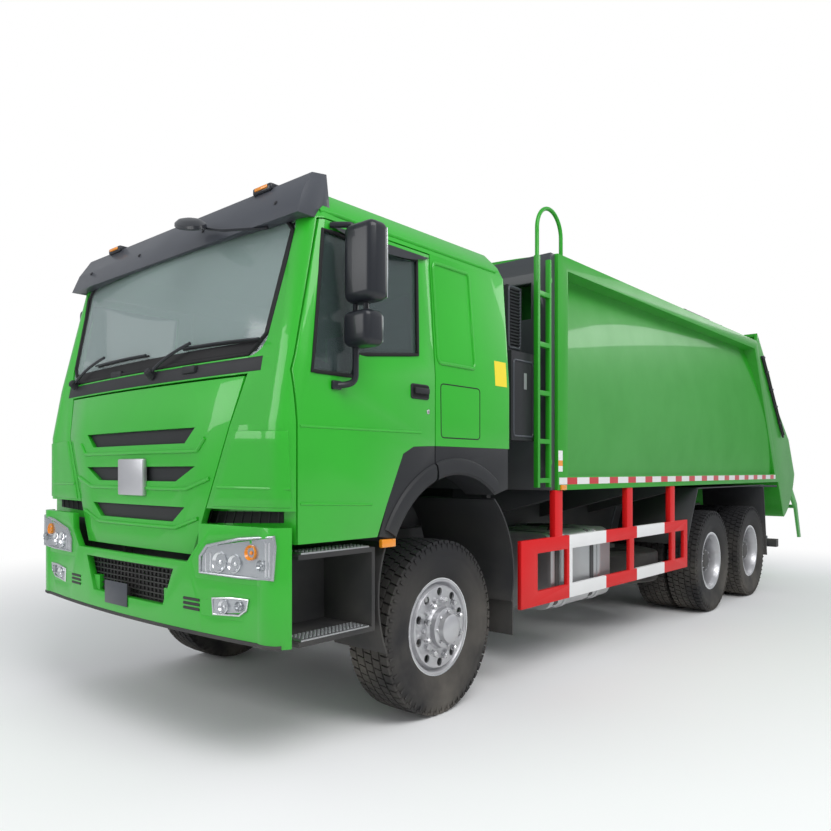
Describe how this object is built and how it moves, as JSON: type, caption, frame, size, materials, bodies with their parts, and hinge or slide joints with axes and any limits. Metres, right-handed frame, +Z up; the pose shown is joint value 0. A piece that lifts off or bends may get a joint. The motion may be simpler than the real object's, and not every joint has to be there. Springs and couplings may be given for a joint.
{
  "type": "garbage truck",
  "caption": "Rear-loading compactor garbage truck: cab-over tilt cab with doors and front flap, bowed refuse body, lifting tailgate with packer, sweep blade and bin lifter, steered front axle.",
  "frame": {"origin": "on the ground under the middle of the overall length and width", "axes": "+X to the left side of the truck, +Y rearward, the front faces -Y, +Z up"},
  "size_m": [2.94, 10.0326, 3.3135],
  "materials": {
    "body_green": "gloss",
    "chassis_black": "satin",
    "black_plastic": "matt",
    "grey_plastic": "satin",
    "rim_silver": "satin",
    "tyre": "matt",
    "glass": "gloss",
    "guard_red": "gloss",
    "aluminium": "brushed",
    "lamp": "gloss",
    "steel": "gloss",
    "seat": "matt"
  },
  "bodies": {
    "truck": {"chassis_frame": "chassis_black", "front_axle": "chassis_black", "rear_axles": "chassis_black", "engine": "chassis_black", "fuel_tank": "aluminium", "exhaust": "chassis_black", "spare_wheel": "chassis_black", "side_guards": "guard_red", "cab_steps": "black_plastic", "front_fenders": "black_plastic", "rear_mudguards": "chassis_black", "air_intake": "black_plastic", "front_bumper": "body_green", "head_lamps": "lamp", "body_shell": "body_green", "front_bulkhead": "chassis_black", "ladder": "chassis_black", "lift_barrels": "chassis_black"},
    "cab": {"cab_shell": "body_green", "windscreen": "glass", "cowl": "black_plastic", "sun_visor": "grey_plastic", "arch_flares": "black_plastic", "dashboard": "black_plastic", "seats": "seat"},
    "door_left": {"door_left": "body_green", "door_glass_left": "glass", "mirror_left": "black_plastic", "door_flare_left": "black_plastic"},
    "door_right": {"door_right": "body_green", "door_glass_right": "glass", "mirror_right": "black_plastic", "door_flare_right": "black_plastic"},
    "flap": {"front_flap": "body_green", "grille_mesh": "black_plastic"},
    "steering_wheel": {"steering_wheel": "black_plastic"},
    "knuckle_left": {"knuckle_left": "chassis_black"},
    "knuckle_right": {"knuckle_right": "chassis_black"},
    "tie_rod": {"tie_rod": "chassis_black"},
    "tailgate": {"tailgate_shell": "body_green"},
    "carriage": {"carriage": "body_green"},
    "sweep_blade": {"sweep_blade": "body_green"},
    "sweep_barrels": {"sweep_barrels": "chassis_black"},
    "sweep_rods": {"sweep_rods": "steel"},
    "lift_rods": {"lift_rods": "steel"},
    "bin_lifter": {"bin_lifter": "body_green"},
    "ejector": {"ejector": "body_green"},
    "front_wheel_left": {"front_tyre_left": "tyre", "front_rim_left": "rim_silver"},
    "drive_wheels_left_1": {"drive_tyres_left_1": "tyre", "drive_rims_left_1": "rim_silver"},
    "drive_wheels_left_2": {"drive_tyres_left_2": "tyre", "drive_rims_left_2": "rim_silver"},
    "front_wheel_right": {"front_tyre_right": "tyre", "front_rim_right": "rim_silver"},
    "drive_wheels_right_1": {"drive_tyres_right_1": "tyre", "drive_rims_right_1": "rim_silver"},
    "drive_wheels_right_2": {"drive_tyres_right_2": "tyre", "drive_rims_right_2": "rim_silver"}
  },
  "joints": [
    {"name": "cab_tilt", "type": "hinge", "parent": "truck", "child": "cab", "pos_m": [0, -4.895, 1.15], "axis": [1, 0, 0], "range_deg": [0, 50]},
    {"name": "flap_hinge", "type": "hinge", "parent": "cab", "child": "flap", "pos_m": [0, -4.905, 1.917], "axis": [-1, 0, 0], "range_deg": [0, 75]},
    {"name": "door_left_hinge", "type": "hinge", "parent": "cab", "child": "door_left", "pos_m": [1.236, -4.829, 1.5], "axis": [0, 0, -1], "range_deg": [0, 70]},
    {"name": "door_right_hinge", "type": "hinge", "parent": "cab", "child": "door_right", "pos_m": [-1.236, -4.829, 1.5], "axis": [0, 0, 1], "range_deg": [0, 70]},
    {"name": "steering_wheel_turn", "type": "hinge", "parent": "cab", "child": "steering_wheel", "pos_m": [0.64, -4.28, 2.03], "axis": [0, 0.4226, 0.9063], "range_deg": [-630, 630]},
    {"name": "steer_left", "type": "hinge", "parent": "truck", "child": "knuckle_left", "pos_m": [0.85, -3.58, 0.522], "axis": [0, 0, 1], "range_deg": [-35, 35]},
    {"name": "steer_right", "type": "hinge", "parent": "truck", "child": "knuckle_right", "pos_m": [-0.85, -3.58, 0.522], "axis": [0, 0, 1], "range_deg": [-35, 35]},
    {"name": "tie_rod_pivot", "type": "hinge", "parent": "knuckle_left", "child": "tie_rod", "pos_m": [0.812, -3.35, 0.386], "axis": [0, 0, 1], "range_deg": [-35, 35]},
    {"name": "tailgate_hinge", "type": "hinge", "parent": "truck", "child": "tailgate", "pos_m": [0, 2.46, 3.11], "axis": [1, 0, 0], "range_deg": [0, 80]},
    {"name": "lift_rod_slide", "type": "slide", "parent": "truck", "child": "lift_rods", "axis": [0, -1, 0], "range_m": [0, 0.2]},
    {"name": "carriage_slide", "type": "slide", "parent": "tailgate", "child": "carriage", "axis": [0, 0.5, -0.866], "range_m": [0, 0.5]},
    {"name": "sweep_blade_hinge", "type": "hinge", "parent": "carriage", "child": "sweep_blade", "pos_m": [0, 3.28054, 2.11639], "axis": [1, 0, 0], "range_deg": [0, 80]},
    {"name": "sweep_barrel_pivot", "type": "hinge", "parent": "carriage", "child": "sweep_barrels", "pos_m": [0, 3.06782, 2.67485], "axis": [1, 0, 0], "range_deg": [0, 10.16]},
    {"name": "sweep_rod_slide", "type": "slide", "parent": "sweep_barrels", "child": "sweep_rods", "axis": [0, -0.5168, 0.8561], "range_m": [0, 0.2483]},
    {"name": "bin_lifter_hinge", "type": "hinge", "parent": "tailgate", "child": "bin_lifter", "pos_m": [0, 4.42155, 1.22939], "axis": [1, 0, 0], "range_deg": [0, 110]},
    {"name": "ejector_slide", "type": "slide", "parent": "truck", "child": "ejector", "axis": [0, 1, 0], "range_m": [0, 3.6]},
    {"name": "front_wheel_left_spin", "type": "hinge", "parent": "knuckle_left", "child": "front_wheel_left", "pos_m": [1.002, -3.58, 0.522], "axis": [1, 0, 0], "continuous": true},
    {"name": "drive_wheels_left_1_spin", "type": "hinge", "parent": "truck", "child": "drive_wheels_left_1", "pos_m": [1.088, 1.02, 0.522], "axis": [1, 0, 0], "continuous": true},
    {"name": "drive_wheels_left_2_spin", "type": "hinge", "parent": "truck", "child": "drive_wheels_left_2", "pos_m": [1.088, 2.37, 0.522], "axis": [1, 0, 0], "continuous": true},
    {"name": "front_wheel_right_spin", "type": "hinge", "parent": "knuckle_right", "child": "front_wheel_right", "pos_m": [-1.002, -3.58, 0.522], "axis": [1, 0, 0], "continuous": true},
    {"name": "drive_wheels_right_1_spin", "type": "hinge", "parent": "truck", "child": "drive_wheels_right_1", "pos_m": [-1.088, 1.02, 0.522], "axis": [1, 0, 0], "continuous": true},
    {"name": "drive_wheels_right_2_spin", "type": "hinge", "parent": "truck", "child": "drive_wheels_right_2", "pos_m": [-1.088, 2.37, 0.522], "axis": [1, 0, 0], "continuous": true}
  ],
  "couplings": [
    {"joint": "steer_right", "follows": "steer_left", "ratio": 1},
    {"joint": "tie_rod_pivot", "follows": "steer_left", "ratio": -1},
    {"joint": "steering_wheel_turn", "follows": "steer_left", "ratio": 18},
    {"joint": "lift_rod_slide", "follows": "tailgate_hinge", "m_per_rad": 0.14269},
    {"joint": "sweep_barrel_pivot", "follows": "sweep_blade_hinge", "ratio": 0.12579},
    {"joint": "sweep_rod_slide", "follows": "sweep_blade_hinge", "m_per_rad": 0.17711}
  ]
}
